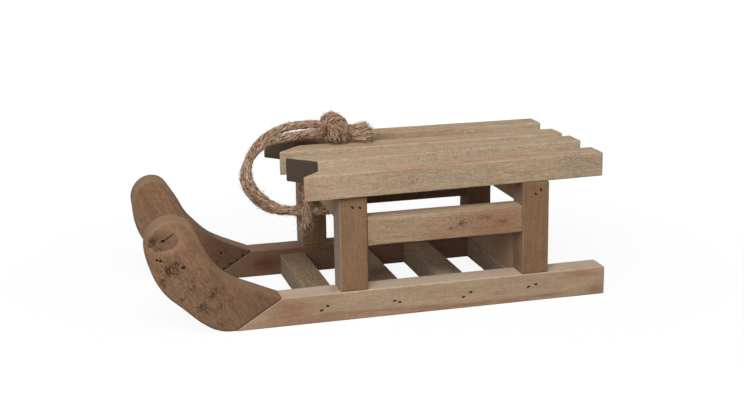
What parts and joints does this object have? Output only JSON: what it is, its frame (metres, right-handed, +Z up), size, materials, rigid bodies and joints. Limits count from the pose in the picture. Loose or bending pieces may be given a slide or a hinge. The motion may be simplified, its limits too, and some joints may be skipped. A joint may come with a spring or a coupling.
{
  "type": "decorative wooden sledge",
  "caption": "Small display sledge of sawn battens with upcurved runner noses, a slatted seat on posts and a knotted jute pull rope.",
  "frame": {"origin": "on the ground under the middle of the woodwork, measured without the pull rope", "axes": "+X forward towards the upcurved noses, +Y to the sledge's left, +Z up"},
  "size_m": [0.342, 0.155, 0.136],
  "materials": {
    "runner_wood": "weathered sawn softwood",
    "nose_wood": "darker weathered sawn softwood",
    "post_wood": "sawn softwood",
    "rail_wood": "sawn softwood",
    "seat_wood": "weathered sawn softwood",
    "floor_wood": "weathered sawn softwood",
    "jute": "twisted natural fibre"
  },
  "bodies": {
    "root": {"runner_bar_left": "runner_wood", "runner_bar_right": "runner_wood", "runner_nose_left": "nose_wood", "runner_nose_right": "nose_wood", "post_front_left": "post_wood", "post_front_right": "post_wood", "post_rear_left": "post_wood", "post_rear_right": "post_wood", "side_rail_left": "rail_wood", "side_rail_right": "rail_wood", "crossbar_front": "rail_wood", "crossbar_rear": "rail_wood", "floor_slat_1": "floor_wood", "floor_slat_2": "floor_wood", "floor_slat_3": "floor_wood", "floor_slat_4": "floor_wood", "seat_slat_1": "seat_wood", "seat_slat_2": "seat_wood", "seat_slat_3": "seat_wood", "seat_slat_4": "seat_wood", "pull_rope_hitch": "jute", "pull_rope_left": "jute", "pull_rope_right": "jute", "pull_rope_knot": "jute", "pull_rope_tails": "jute"}
  },
  "joints": []
}
